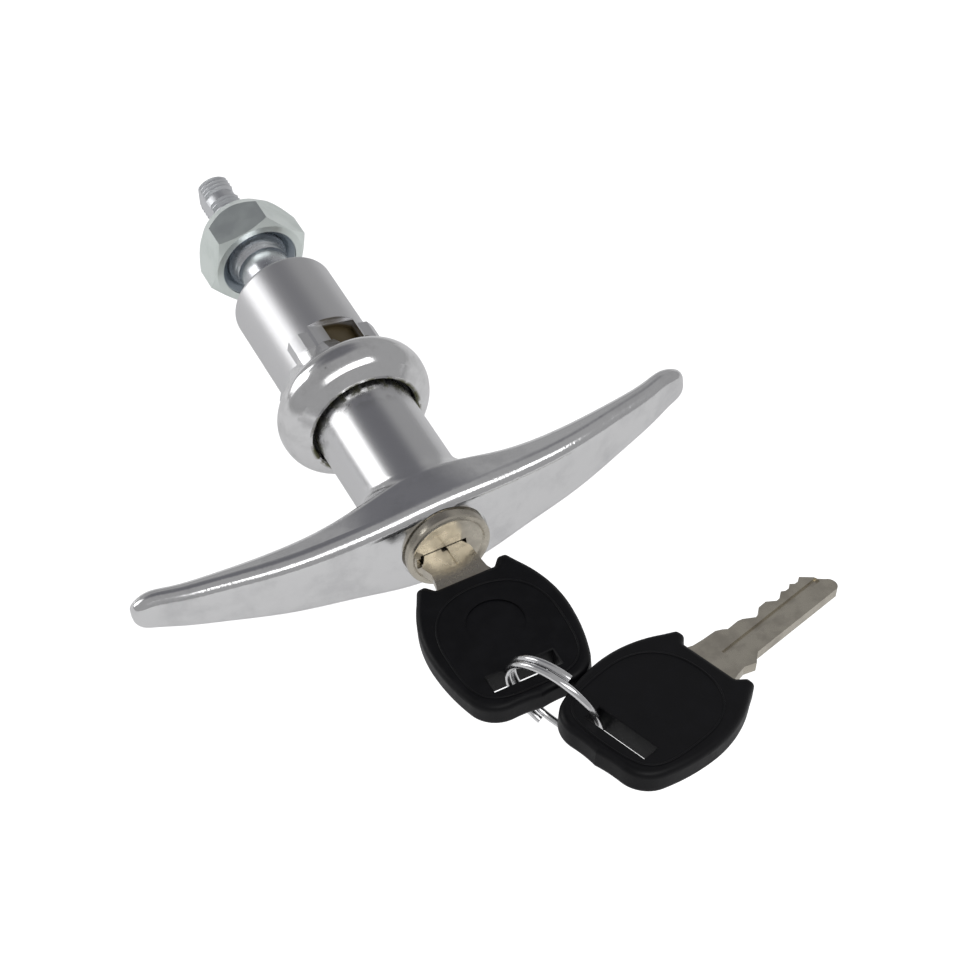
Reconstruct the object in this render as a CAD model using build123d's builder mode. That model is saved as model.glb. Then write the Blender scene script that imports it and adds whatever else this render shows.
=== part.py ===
from build123d import *
from math import cos, sin, tan, radians, pi, hypot
import os

# Engine lid lock with a T-handle, all sizes in millimetres.
# Y runs along the shaft into the lid, X along the T-bar, Z up.
# The origin lies on the shaft's axis in the plane where the flange meets the lid.

os.makedirs("parts", exist_ok=True)

# Housing
FLANGE_R = 14.75
FLANGE_DEPTH = 8.5
OPENING_R = 10.36
SHOULDER_Y = -3.9
SEAT_R = 13.6
BARREL_R = 10.0
BARREL_END = 29.6
BARREL_ROUND = 1.2
BORE_R = 8.05
BORE_END = 17.0
HOUSING_TURN = 75.5
NECK_HALF = 8.6
NECK_CORNER_R = 11.1
NECK_END = 9.2
COLLAR_FLAT = 12.3
COLLAR_TOP_FLAT = 9.8
COLLAR_END = 4.8
MILLED_HALF = 8.9
MILLED_END = 10.5
WINDOW_WIDTH = 6.4
WINDOW_SHIFT = 1.4
WINDOW_START = 0.8
WINDOW_END = 10.0
BUSH_R = 6.5
BUSH_END = 26.9
CLIP_RECESS_R = 7.2
STOP_Y = 7.0
STOP_R = 1.0

# Handle
FACE_Y = -43.75
SHANK_R = 9.65
SHANK_END = -4.2
JOURNAL_R = 8.0
JOURNAL_END = 15.6
OPENING_DEPTH = 2.75
SLEEVE_R = 7.0
SLEEVE_BORE_END = -14.9
CHAMBER_R = 2.5
CHAMBER_END = 4.7
SEAL_Y = -6.2
SEAL_WIRE_R = 0.7
SEAL_GROOVE_R = 8.9
GROOVE_FLOOR_R = 6.8

# Spindle and nut
SPINDLE_R = 5.0
SPINDLE_START = 5.6
NUT_START = 40.06
NUT_END = 50.86
NUT_FLATS = 18.0
NUT_ANGLE = 13.0
M12_R = 5.9
STUD_END = 63.5
STUD_R = 4.0
STUD_CORE_R = 3.4
STUD_PITCH = 1.0
CROSS_PIN_Y = 11.5
CROSS_PIN_R = 1.25
CIRCLIP_Y = 27.3
CIRCLIP_T = 0.9

# Gap of a slip fit
SLIP = 0.02

# Lock plug
RIM_R = 8.0
RIM_END = -41.15
PLUG_R = 6.2
PLUG_END = -15.0
CLIP_Y = -17.9
KEYWAY_LEFT = -5.4
KEYWAY_RIGHT = 3.45
KEYWAY_HALF = 1.15
KEYWAY_END = -19.7
TAIL_R = 2.0
TAIL_START = -18.9
TAIL_END = 1.0
PIN_THROW = 1.6
PIN_R = 0.6
PIN_ANGLE = 208.0
BOLT_ANGLE = 73.0
BOLT_Y = 2.9
BOLT_R = 1.8
BOLT_START = -3.0
BOLT_TIP = 7.85
WAFER_STATIONS = (-40.0, -37.0, -34.0, -31.0, -28.0)
WAFER_T = 0.9
WAFER_HALF = 2.6
SPRING_Z = -3.5

# Keys, drawn with X towards the tip, Y towards the cuts and Z out of the face
BLADE_T = 2.0
HEAD_T = 4.8
SLOT_X = -23.65
SLOT_LENGTH = 12.7
SLOT_WIDTH = 3.5
SLOT_SHIFT = -0.5
BADGE_X = -12.0
BADGE_R = 5.2
KEY_1_AT = (-1.0, -52.05, 0.0)
KEY_2_AT = (27.61, -86.86, -2.924)
KEY_2_TURN = 21.7
KEY_2_PITCH = 9.23
KEY_2_ROLL = 2.81

# Split ring
WIRE_R = 0.625
RING_R = 9.2
RING_PITCH = 1.42
RING_CENTRE = (0.985, -83.272, 2.002)
RING_AXIS = (-0.8845, -0.441, -0.152)
RING_TO_KEY_1 = (-0.4665, 0.8336, 0.2959)
RING_START = -97
RING_TURNS = 1.5


def station(y):
    """Plane across the shaft at one place along it, with X across and Z up."""
    return Plane(origin=(0, y, 0), x_dir=(1, 0, 0), z_dir=(0, -1, 0))


def meridian(angle):
    """Plane through the shaft's axis: local x points outwards at the angle, local y along the shaft."""
    a = radians(angle)
    return Plane(origin=(0, 0, 0), x_dir=(cos(a), 0, sin(a)), z_dir=(-sin(a), 0, cos(a)))


def radial(angle, distance, y):
    """Plane square to a radius of the shaft, at the distance from its axis."""
    a = radians(angle)
    return Plane(
        origin=(distance * cos(a), y, distance * sin(a)),
        x_dir=(0, 1, 0),
        z_dir=(cos(a), 0, sin(a)),
    )


def turned(points):
    """Solid turned about the shaft's axis from an outline of radius and station."""
    with BuildPart() as body:
        with BuildSketch(Plane.XY):
            with BuildLine():
                Polyline(*points, close=True)
            make_face()
        revolve(axis=Axis.Y)
    return body.part


def rod(radius, start, end):
    """Plain round rod on the shaft's axis."""
    return turned([(0, start), (radius, start), (radius, end), (0, end)])


def ring_solid(inner, outer, start, end):
    """Round ring on the shaft's axis."""
    return turned([(inner, start), (outer, start), (outer, end), (inner, end)])


def octagon(flat, turn):
    """Corner points of an eight-sided outline round the shaft, one flat facing the turn angle."""
    corner = flat / cos(radians(22.5))
    angles = [radians(turn + 22.5 + 45 * k) for k in range(8)]
    return [(corner * cos(a), corner * sin(a)) for a in angles]


def save(solid, name):
    """Label one piece and write it to its own file."""
    solid.label = name
    export_step(solid, "parts/" + name + ".step")


# Housing: flange, square neck with two windows and barrel, one casting
WINDOW_ANGLES = (HOUSING_TURN, HOUSING_TURN - 90)
with BuildPart() as housing:
    for y, flat in ((0, COLLAR_FLAT), (COLLAR_END, COLLAR_TOP_FLAT)):
        with BuildSketch(station(y)):
            with BuildLine():
                Polyline(*octagon(flat, HOUSING_TURN), close=True)
            make_face()
    loft()
    add(rod(BORE_R, -1, COLLAR_END + 1), mode=Mode.SUBTRACT)
    with BuildSketch(Plane.XY):
        with BuildLine():
            Line((BORE_R, SHOULDER_Y), (BORE_R, 0))
            Line((BORE_R, 0), (SEAT_R, 0))
            ThreePointArc((SEAT_R, 0), (14.5, -1.3), (FLANGE_R, -3.3))
            ThreePointArc((FLANGE_R, -3.3), (14.3, -5.4), (13.2, -6.9))
            Line((13.2, -6.9), (11.2, -FLANGE_DEPTH))
            Line((11.2, -FLANGE_DEPTH), (OPENING_R + 0.3, -FLANGE_DEPTH))
            Line((OPENING_R + 0.3, -FLANGE_DEPTH), (OPENING_R, 0.3 - FLANGE_DEPTH))
            Line((OPENING_R, 0.3 - FLANGE_DEPTH), (OPENING_R, SHOULDER_Y))
            Line((OPENING_R, SHOULDER_Y), (BORE_R, SHOULDER_Y))
        make_face()
    revolve(axis=Axis.Y)
    with BuildSketch(Plane.XY):
        with BuildLine():
            Polyline((BORE_R, 0), (BARREL_R, 0), (BARREL_R, BARREL_END - BARREL_ROUND))
            ThreePointArc(
                (BARREL_R, BARREL_END - BARREL_ROUND),
                (BARREL_R - 0.35, BARREL_END - 0.35),
                (BARREL_R - BARREL_ROUND, BARREL_END),
            )
            Polyline(
                (BARREL_R - BARREL_ROUND, BARREL_END),
                (CLIP_RECESS_R, BARREL_END),
                (CLIP_RECESS_R, BUSH_END),
                (BUSH_R, BUSH_END),
                (BUSH_R, BORE_END),
                (BORE_R, BORE_END),
                (BORE_R, 0),
            )
        make_face()
    revolve(axis=Axis.Y)
    with BuildSketch(station(0)):
        Rectangle(2 * NECK_HALF, 2 * NECK_HALF, rotation=HOUSING_TURN)
        Circle(NECK_CORNER_R, mode=Mode.INTERSECT)
        Circle(BORE_R + 0.5, mode=Mode.SUBTRACT)
    extrude(amount=-NECK_END)
    for angle in WINDOW_ANGLES:
        with BuildSketch(radial(angle, MILLED_HALF, (COLLAR_END + MILLED_END) / 2)):
            Rectangle(MILLED_END - COLLAR_END, BARREL_R)
        extrude(amount=NECK_CORNER_R - MILLED_HALF, mode=Mode.SUBTRACT)
        with BuildSketch(radial(angle, BORE_R - 2.0, (WINDOW_START + WINDOW_END) / 2)):
            with Locations((0, -WINDOW_SHIFT)):
                Rectangle(WINDOW_END - WINDOW_START, WINDOW_WIDTH)
        extrude(amount=10, mode=Mode.SUBTRACT)
    with BuildSketch(radial(HOUSING_TURN + 180, BORE_R - 2.0, STOP_Y)):
        Circle(STOP_R)
    extrude(amount=8, mode=Mode.SUBTRACT)
save(housing.part, "housing")

# Bearing bush for the spindle, pressed into the barrel
with BuildPart() as housing_bush:
    add(ring_solid(SPINDLE_R + 0.05, BUSH_R, BORE_END, BUSH_END))
    chamfer(housing_bush.edges().filter_by(GeomType.CIRCLE).group_by(Axis.Y)[-1], 0.3)
save(housing_bush.part, "housing_bush")

# Stop pin in the neck that limits the handle to a quarter turn
with BuildPart() as stop_pin:
    with BuildSketch(radial(HOUSING_TURN + 180, 6.9, STOP_Y)):
        Circle(STOP_R)
    extrude(amount=BARREL_R - 6.95)
    chamfer(stop_pin.edges().filter_by(GeomType.CIRCLE), 0.2)
save(stop_pin.part, "stop_pin")

# Handle: crescent T-bar, shank and journal, one casting
# Each row: distance along the bar, front and back edge, front and back height, corner radii
BAR_SECTIONS = (
    (0.0, -41.9, -31.4, 19.6, 19.4, 2.6, 1.5),
    (8.0, -41.6, -31.4, 18.9, 17.0, 2.6, 1.8),
    (16.0, -40.5, -31.4, 17.2, 12.6, 2.5, 2.6),
    (28.0, -38.4, -31.0, 14.8, 9.6, 2.3, 2.8),
    (39.7, -35.0, -29.5, 12.0, 8.0, 2.1, 2.4),
    (47.4, -32.4, -27.7, 9.8, 6.8, 1.9, 2.0),
    (51.2, -30.9, -26.7, 8.4, 6.0, 1.7, 1.8),
)
# Each row: distance along the bar and size of the tip section there
NOSE_STEPS = ((53.1, 0.8), (54.1, 0.55), (54.4, 0.3))
# The bar stands turned a little against the housing
BAR_TILT = 1.6


def bar_section(x, front, back, height, back_height, front_round, back_round):
    """Outline across the T-bar: bowed front, sloping top and bottom, rounded back."""
    bow = 0.045 * height
    middle = x * tan(radians(BAR_TILT))
    with BuildSketch(Plane(origin=(x, 0, middle), x_dir=(0, 1, 0), z_dir=(1, 0, 0))) as section:
        with BuildLine():
            ThreePointArc((front + bow, height / 2), (front, 0), (front + bow, -height / 2))
            Line((front + bow, -height / 2), (back, -back_height / 2))
            Line((back, -back_height / 2), (back, back_height / 2))
            Line((back, back_height / 2), (front + bow, height / 2))
        make_face()
        fillet(section.vertices().sort_by(Axis.X)[:2], front_round)
        fillet(section.vertices().sort_by(Axis.X)[-2:], back_round)
    return section.sketch.face()


def nose_section(x, size):
    """The last bar section drawn in towards its middle, for the rounded tip."""
    _, front, back, height, back_height, front_round, back_round = BAR_SECTIONS[-1]
    middle = (front + back) / 2 + 0.9 * (1 - size)
    half = (back - front) / 2 * size
    return bar_section(
        x,
        middle - half,
        middle + half,
        height * size,
        back_height * size,
        front_round * size,
        back_round * size,
    )


def arm_sections(side):
    """Sections of one arm from the middle of the bar to its tip."""
    rows = [bar_section(side * row[0], *row[1:]) for row in BAR_SECTIONS]
    return rows + [nose_section(side * x, size) for x, size in NOSE_STEPS]


# Front of the shank, inside the bar
SHANK_START = -35.0
ROOT_RADIUS = 5.5
with BuildPart() as handle:
    loft(arm_sections(-1)[:0:-1] + arm_sections(1))
    add(rod(SHANK_R, SHANK_START, SHANK_END))
    root = handle.edges().filter_by(lambda edge: -34 < edge.center().Y < -31)
    root = root.filter_by(lambda edge: abs(edge.center().X) < SHANK_R)
    fillet(root.filter_by(lambda edge: edge.bounding_box().max.Y < -31.3), ROOT_RADIUS)
    add(rod(JOURNAL_R, SHANK_END - 0.5, JOURNAL_END))
    add(rod(RIM_R + 0.3, FACE_Y - 1, FACE_Y + OPENING_DEPTH), mode=Mode.SUBTRACT)
    add(rod(SLEEVE_R, FACE_Y, SLEEVE_BORE_END), mode=Mode.SUBTRACT)
    add(rod(CHAMBER_R, SLEEVE_BORE_END - 1, CHAMBER_END), mode=Mode.SUBTRACT)
    add(rod(SPINDLE_R + SLIP, SPINDLE_START - SLIP, JOURNAL_END + 1), mode=Mode.SUBTRACT)
    add(ring_solid(SEAL_GROOVE_R, SHANK_R + 1, SEAL_Y - 0.8, SEAL_Y + 0.8), mode=Mode.SUBTRACT)
    with BuildSketch(radial(BOLT_ANGLE, BOLT_START - 0.2, BOLT_Y)):
        Circle(BOLT_R + 0.05)
    extrude(amount=JOURNAL_R + 5, mode=Mode.SUBTRACT)
    with BuildSketch(radial(0, -JOURNAL_R - 1, CROSS_PIN_Y)):
        Circle(CROSS_PIN_R)
    extrude(amount=2 * JOURNAL_R + 2, mode=Mode.SUBTRACT)
    with BuildSketch(meridian(HOUSING_TURN + 180)):
        with Locations(((GROOVE_FLOOR_R + JOURNAL_R + 1) / 2, STOP_Y)):
            Rectangle(JOURNAL_R + 1 - GROOVE_FLOOR_R, 2 * STOP_R + 0.3)
    revolve(axis=Axis((0, 0, 0), (0, -1, 0)), revolution_arc=90, mode=Mode.SUBTRACT)
    for angle in (HOUSING_TURN + 180, HOUSING_TURN + 270):
        with BuildSketch(radial(angle, GROOVE_FLOOR_R, STOP_Y)):
            Circle(STOP_R + 0.15)
        extrude(amount=3, mode=Mode.SUBTRACT)
save(handle.part, "handle")

# Rubber ring that keeps water out of the flange opening
with BuildPart() as grease_seal:
    with BuildSketch(Plane.XY):
        with Locations((SEAL_GROOVE_R + SEAL_WIRE_R + 0.01, SEAL_Y)):
            Circle(SEAL_WIRE_R)
    revolve(axis=Axis.Y)
save(grease_seal.part, "grease_seal")

# Spindle: neck, groove for the circlip, M12 part inside the nut, M8 stud with two flats
STUD_START = NUT_END + 0.2
STUD_CHAMFER = 0.5
STUD_FLAT = 2.9
FLAT_ANGLE = 178
THREAD_TURNS = 14.5
RIDGE_HEIGHT = STUD_R - STUD_CORE_R
with BuildPart() as stud_thread:
    with BuildLine() as coil:
        Helix(
            pitch=STUD_PITCH,
            height=THREAD_TURNS * STUD_PITCH,
            radius=STUD_CORE_R,
            center=(0, STUD_START - 1.0, 0),
            direction=(0, 1, 0),
        )
    start = coil.line @ 0
    outward = Vector(start.X, 0, start.Z).normalized()
    with BuildSketch(Plane(origin=start, x_dir=outward, z_dir=outward.cross(Vector(0, 1, 0)))):
        with BuildLine():
            Polyline(
                (-0.2, -0.47),
                (0, -0.42),
                (RIDGE_HEIGHT, -0.07),
                (RIDGE_HEIGHT, 0.07),
                (0, 0.42),
                (-0.2, 0.47),
                close=True,
            )
        make_face()
    sweep(is_frenet=True)
with BuildPart() as stud_envelope:
    add(
        turned(
            [
                (0, STUD_START - 0.2),
                (STUD_R, STUD_START - 0.2),
                (STUD_R, STUD_END - STUD_CHAMFER),
                (STUD_R - STUD_CHAMFER, STUD_END),
                (0, STUD_END),
            ]
        )
    )
    for angle in (FLAT_ANGLE, FLAT_ANGLE + 180):
        with BuildSketch(radial(angle, STUD_FLAT, STUD_END)):
            Rectangle(40, 12)
        extrude(amount=5, mode=Mode.SUBTRACT)
with BuildPart() as spindle:
    add(
        turned(
            [
                (0, SPINDLE_START),
                (SPINDLE_R, SPINDLE_START),
                (SPINDLE_R, CIRCLIP_Y),
                (SPINDLE_R - 0.5, CIRCLIP_Y),
                (SPINDLE_R - 0.5, CIRCLIP_Y + CIRCLIP_T),
                (SPINDLE_R, CIRCLIP_Y + CIRCLIP_T),
                (SPINDLE_R, NUT_START - 1.5),
                (SPINDLE_R + 0.25, NUT_START - 0.7),
                (M12_R - 0.2, NUT_START + 0.4),
                (M12_R, NUT_START + 1.0),
                (M12_R, NUT_END - 0.9),
                (STUD_R + 0.6, NUT_END),
                (STUD_CORE_R, NUT_END),
                (STUD_CORE_R, STUD_END),
                (0, STUD_END),
            ]
        )
    )
    add(stud_thread.part.intersect(stud_envelope.part))
    for angle in (FLAT_ANGLE, FLAT_ANGLE + 180):
        with BuildSketch(radial(angle, STUD_FLAT, (STUD_START + STUD_END) / 2 + 1)):
            Rectangle(STUD_END - STUD_START + 2, 12)
        extrude(amount=5, mode=Mode.SUBTRACT)
    with BuildSketch(radial(0, -SPINDLE_R - 1, CROSS_PIN_Y)):
        Circle(CROSS_PIN_R)
    extrude(amount=2 * SPINDLE_R + 2, mode=Mode.SUBTRACT)
save(spindle.part, "spindle")

# Hexagon nut on the M12 part: bevelled and countersunk towards the barrel, a long cone on the other end
NUT_CORNER_R = NUT_FLATS / 2 / cos(radians(30))
BEVEL_R = 8.8
BEVEL = 1.05
SINK_R = 7.5
CONE_START = NUT_START + 5.9
CONE_END_R = 7.5
with BuildPart() as spindle_nut:
    with BuildSketch(station(NUT_START)):
        RegularPolygon(NUT_CORNER_R, 6, rotation=NUT_ANGLE)
    extrude(amount=NUT_START - NUT_END)
    add(
        turned(
            [
                (0, NUT_START),
                (BEVEL_R, NUT_START),
                (NUT_CORNER_R + 0.1, NUT_START + BEVEL),
                (NUT_CORNER_R + 0.1, CONE_START),
                (CONE_END_R, NUT_END),
                (0, NUT_END),
            ]
        ),
        mode=Mode.INTERSECT,
    )
    add(
        turned(
            [
                (0, NUT_START - 1),
                (SINK_R, NUT_START - 1),
                (SINK_R, NUT_START + 0.35),
                (M12_R + 0.05, NUT_START + 1.9),
                (M12_R + 0.05, NUT_END - 0.6),
                (M12_R + 0.7, NUT_END + 0.1),
                (0, NUT_END + 0.1),
            ]
        ),
        mode=Mode.SUBTRACT,
    )
save(spindle_nut.part, "spindle_nut")

# Pin across the journal that fixes the spindle in the handle
with BuildPart() as cross_pin:
    with BuildSketch(radial(0, 0.1 - JOURNAL_R, CROSS_PIN_Y)):
        Circle(CROSS_PIN_R)
    extrude(amount=2 * JOURNAL_R - 0.2)
    chamfer(cross_pin.edges().filter_by(GeomType.CIRCLE), 0.25)
save(cross_pin.part, "cross_pin")

# Circlip in the spindle's groove, with a gap and two eyes
with BuildPart() as circlip:
    with BuildSketch(station(CIRCLIP_Y)):
        Circle(6.1)
        with Locations((-1.7, 5.8), (1.7, 5.8)):
            Circle(1.05)
        Circle(SPINDLE_R - 0.5, mode=Mode.SUBTRACT)
        with Locations((0, 6)):
            Rectangle(1.5, 6, mode=Mode.SUBTRACT)
        with Locations((-1.75, 5.9), (1.75, 5.9)):
            Circle(0.4, mode=Mode.SUBTRACT)
    extrude(amount=-CIRCLIP_T)
save(circlip.part, "circlip")

# Washers between the journal and the shoulder of the barrel
WASHER_Y = JOURNAL_END + 0.05
WASHER_T = 0.5
with BuildPart() as thrust_washer:
    add(ring_solid(SPINDLE_R + 0.2, JOURNAL_R - 0.1, WASHER_Y, WASHER_Y + WASHER_T))
save(thrust_washer.part, "thrust_washer")

WAVES = 3
WAVE_T = 0.25
WAVE_R = (SPINDLE_R + JOURNAL_R) / 2
WAVE_MIDDLE = (WASHER_Y + WASHER_T + BORE_END) / 2
WAVE_HEIGHT = (BORE_END - WASHER_Y - WASHER_T - WAVE_T) / 2 - 0.02
WAVE_STEP = 15
with BuildPart() as one_wave:
    for k in range(int(360 / WAVES / WAVE_STEP) + 1):
        height = WAVE_MIDDLE + WAVE_HEIGHT * cos(radians(k * WAVE_STEP * WAVES))
        with BuildSketch(meridian(k * WAVE_STEP)):
            with Locations((WAVE_R, height)):
                Rectangle(2.2, WAVE_T)
    loft()
with BuildPart() as wave_washer:
    for k in range(WAVES):
        add(one_wave.part, rotation=(0, k * 360 / WAVES, 0))
save(wave_washer.part, "wave_washer")

# Brass sleeve that lines the handle's bore, with slots at both sides for the wafers
SLEEVE_START = RIM_END + 0.15
SLEEVE_END = CLIP_Y - 0.1
with BuildPart() as plug_sleeve:
    add(ring_solid(PLUG_R + 0.05, SLEEVE_R, SLEEVE_START, SLEEVE_END))
    with BuildSketch(Plane.YZ):
        with Locations(((WAFER_STATIONS[0] + WAFER_STATIONS[-1]) / 2, 0)):
            Rectangle(WAFER_STATIONS[-1] - WAFER_STATIONS[0] + 1.8, 2 * WAFER_HALF + 0.3)
    extrude(amount=SLEEVE_R + 1, both=True, mode=Mode.SUBTRACT)
save(plug_sleeve.part, "plug_sleeve")

# Lock plug: raised rim, recessed face, keyway with its notch, wafer slots and spring pockets
FACE_RECESS_R = 6.9
FACE_RECESS = 0.55
NOTCH_X = -6.2
SPRING_LEFT = -2.0
SPRING_RIGHT = 2.0
SPRING_POCKET_R = 0.9
LUG_END = 3.4
with BuildPart() as plug:
    add(
        turned(
            [
                (0, FACE_Y + FACE_RECESS),
                (FACE_RECESS_R - 0.25, FACE_Y + FACE_RECESS),
                (FACE_RECESS_R, FACE_Y + 0.2),
                (FACE_RECESS_R + 0.25, FACE_Y),
                (RIM_R - 0.6, FACE_Y),
                (RIM_R - 0.18, FACE_Y + 0.18),
                (RIM_R, FACE_Y + 0.6),
                (RIM_R, RIM_END),
                (PLUG_R, RIM_END),
                (PLUG_R, CLIP_Y),
                (PLUG_R - 0.8, CLIP_Y),
                (PLUG_R - 0.8, CLIP_Y + 0.9),
                (PLUG_R, CLIP_Y + 0.9),
                (PLUG_R, PLUG_END),
                (0, PLUG_END),
            ]
        )
    )
    with BuildSketch(station(FACE_Y - 1)):
        with Locations(((KEYWAY_LEFT + KEYWAY_RIGHT) / 2, 0)):
            Rectangle(KEYWAY_RIGHT - KEYWAY_LEFT, 2 * KEYWAY_HALF)
    extrude(amount=FACE_Y - 1 - KEYWAY_END, mode=Mode.SUBTRACT)
    with BuildSketch(station(FACE_Y - 1)):
        with Locations(((NOTCH_X + KEYWAY_LEFT) / 2, -0.6)):
            Rectangle(KEYWAY_LEFT - NOTCH_X + 0.1, 2.3)
    extrude(amount=-3.0, mode=Mode.SUBTRACT)
    for y in WAFER_STATIONS:
        with BuildSketch(station(y - 0.05)):
            Rectangle(2 * PLUG_R + 1, 2 * WAFER_HALF + 0.1)
            with Locations(((SPRING_RIGHT + LUG_END) / 2, (SPRING_Z - 0.8 - WAFER_HALF) / 2)):
                Rectangle(LUG_END - SPRING_RIGHT + 0.1, WAFER_HALF + SPRING_Z + 0.8 + 2 * WAFER_HALF)
        extrude(amount=-WAFER_T - 0.1, mode=Mode.SUBTRACT)
        pocket = Plane(origin=(SPRING_LEFT, y + WAFER_T / 2, SPRING_Z), x_dir=(0, 1, 0), z_dir=(1, 0, 0))
        with BuildSketch(pocket):
            Circle(SPRING_POCKET_R)
        extrude(amount=SPRING_RIGHT - SPRING_LEFT + 0.1, mode=Mode.SUBTRACT)
    add(rod(TAIL_R, TAIL_START, PLUG_END + 1), mode=Mode.SUBTRACT)
save(plug.part, "plug")

# Clip behind the sleeve that keeps the plug in
with BuildPart() as plug_clip:
    with BuildSketch(station(CLIP_Y)):
        Circle(SLEEVE_R - 0.15)
        Circle(PLUG_R - 0.8, mode=Mode.SUBTRACT)
        with Locations((0, -6)):
            Rectangle(6.4, 8, mode=Mode.SUBTRACT)
    extrude(amount=-0.85)
save(plug_clip.part, "plug_clip")

# Tail of the plug with the eccentric pin that throws the bolt
with BuildPart() as plug_tail:
    add(rod(TAIL_R, TAIL_START, TAIL_END))
    with BuildSketch(station(TAIL_END)):
        with Locations((PIN_THROW * cos(radians(PIN_ANGLE)), PIN_THROW * sin(radians(PIN_ANGLE)))):
            Circle(PIN_R)
    extrude(amount=TAIL_END - CHAMBER_END + 0.1)
    fillet(plug_tail.edges().filter_by(GeomType.CIRCLE).group_by(Axis.Y)[0], 0.3)
save(plug_tail.part, "plug_tail")

# Five wafers round the key blade, each with a lug for its spring
WAFER_LEFT = -4.95
WAFER_RIGHT = 2.45
with BuildPart() as wafers:
    for y in WAFER_STATIONS:
        with BuildSketch(station(y)):
            Circle(PLUG_R - 0.1)
            Rectangle(2 * PLUG_R, 2 * WAFER_HALF, mode=Mode.INTERSECT)
            with Locations(((SPRING_RIGHT + LUG_END) / 2, (SPRING_Z - 0.7 - WAFER_HALF) / 2)):
                Rectangle(LUG_END - SPRING_RIGHT - 0.1, -SPRING_Z + 0.7 - WAFER_HALF + 0.4)
            with Locations(((WAFER_LEFT + WAFER_RIGHT) / 2, 0)):
                Rectangle(WAFER_RIGHT - WAFER_LEFT, 2 * KEYWAY_HALF, mode=Mode.SUBTRACT)
        extrude(amount=-WAFER_T)
save(wafers.part, "wafers")

# One coil spring behind each wafer's lug
SPRING_WIRE_R = 0.12
SPRING_R = 0.62
SPRING_TURNS = 5
with BuildPart() as wafer_spring:
    with BuildLine() as curl:
        Helix(
            pitch=(SPRING_RIGHT - SPRING_LEFT - 0.4) / SPRING_TURNS,
            height=SPRING_RIGHT - SPRING_LEFT - 0.4,
            radius=SPRING_R,
            center=(SPRING_LEFT + 0.2, 0, 0),
            direction=(1, 0, 0),
        )
    with BuildSketch(Plane(origin=curl.line @ 0, z_dir=curl.line % 0)):
        Circle(SPRING_WIRE_R)
    sweep(is_frenet=True)
with BuildPart() as wafer_springs:
    with Locations([(0, y + WAFER_T / 2, SPRING_Z) for y in WAFER_STATIONS]):
        add(wafer_spring.part)
save(wafer_springs.part, "wafer_springs")

# Lock bolt: brass pin with a domed tip and a cross slot open to one side
SLOT_MIDDLE = PIN_THROW * cos(radians(PIN_ANGLE - BOLT_ANGLE))
SLOT_HEIGHT = 2 * PIN_R + 0.12
with BuildPart() as lock_bolt:
    with BuildSketch(radial(BOLT_ANGLE, BOLT_START, BOLT_Y)):
        Circle(BOLT_R)
    extrude(amount=BOLT_TIP - BOLT_START)
    fillet(lock_bolt.edges().filter_by(GeomType.CIRCLE).sort_by(Axis.Z)[-1], 1.2)
    outwards = (cos(radians(BOLT_ANGLE)), 0, sin(radians(BOLT_ANGLE)))
    with BuildSketch(Plane(origin=(0, BOLT_Y, 0), x_dir=outwards, z_dir=(0, -1, 0))):
        with Locations((SLOT_MIDDLE, 1.5)):
            Rectangle(SLOT_HEIGHT, 2.4)
    extrude(amount=BOLT_R + 1, both=True, mode=Mode.SUBTRACT)
save(lock_bolt.part, "lock_bolt")

# Keys
CUT_EDGE = (
    (0, 5.45),
    (1.5, 4.85),
    (3.7, 4.6),
    (7.05, 4.4),
    (8.25, 3.8),
    (9.0, 3.2),
    (11.75, 3.25),
    (12.8, 2.95),
    (14.8, 1.65),
    (15.5, 1.75),
    (17.0, 2.8),
    (19.0, 2.85),
    (20.6, 1.65),
    (21.4, 1.7),
    (22.9, 2.6),
    (23.6, 2.15),
    (24.5, 2.1),
    (25.5, 2.7),
    (26.2, 2.1),
    (27.0, 2.05),
    (28.1, 2.65),
    (30.0, 0.75),
    (30.15, 0.1),
    (31.1, -0.9),
)
NOSE_MIDDLE = (31.85, -2.0)
NOSE_END = (30.8, -3.8)
STRAIGHT_EDGE = ((30.8, -3.8), (8.6, -3.8), (7.3, -4.6), (6.4, -5.3), (4.1, -4.5), (1.9, -4.8), (0, -5.35))
TANG = ((-8.0, -4.0), (-8.0, 4.0), (0, 4.0))
HEAD_ROUND = 1.2
BADGE_DEPTH = 0.25
SLOT_CHAMFER = 0.2
GROOVE_DEPTH = 0.5
GROOVE_WIDTH = 1.1
GROOVE_Y = 0.0

with BuildPart() as key_blade:
    with BuildSketch(Plane.XY.offset(-BLADE_T / 2)):
        with BuildLine():
            Polyline(*CUT_EDGE)
            ThreePointArc(CUT_EDGE[-1], NOSE_MIDDLE, NOSE_END)
            Polyline(*STRAIGHT_EDGE, (0, -4.0), *TANG, CUT_EDGE[0])
        make_face()
    extrude(amount=BLADE_T)
    for side in (1, -1):
        with BuildSketch(Plane.XY.offset(side * BLADE_T / 2)):
            with Locations((17.0, GROOVE_Y)):
                Rectangle(26.0, GROOVE_WIDTH)
        extrude(amount=-side * GROOVE_DEPTH, mode=Mode.SUBTRACT)


def head_outline():
    """Outline of the key's head with its two horns."""
    with BuildSketch() as outline:
        with BuildLine():
            Polyline((0, 0), (0, 5.6), (1.7, 7.0), (1.6, 8.6), (-1.0, 9.9))
            side = ThreePointArc((-1.0, 9.9), (-7.0, 12.4), (-14.0, 13.25))
            shoulder = TangentArc((-14.0, 13.25), (-25.0, 11.4), tangent=side % 1)
            corner = TangentArc((-25.0, 11.4), (-29.2, 5.2), tangent=shoulder % 1)
            TangentArc((-29.2, 5.2), (-29.5, 0), tangent=corner % 1)
            mirror(about=Plane.XZ)
        make_face()
        fillet(outline.vertices().filter_by(lambda v: v.X > -1.5 and abs(v.Y) > 5), 0.8)
    return outline.sketch


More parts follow.
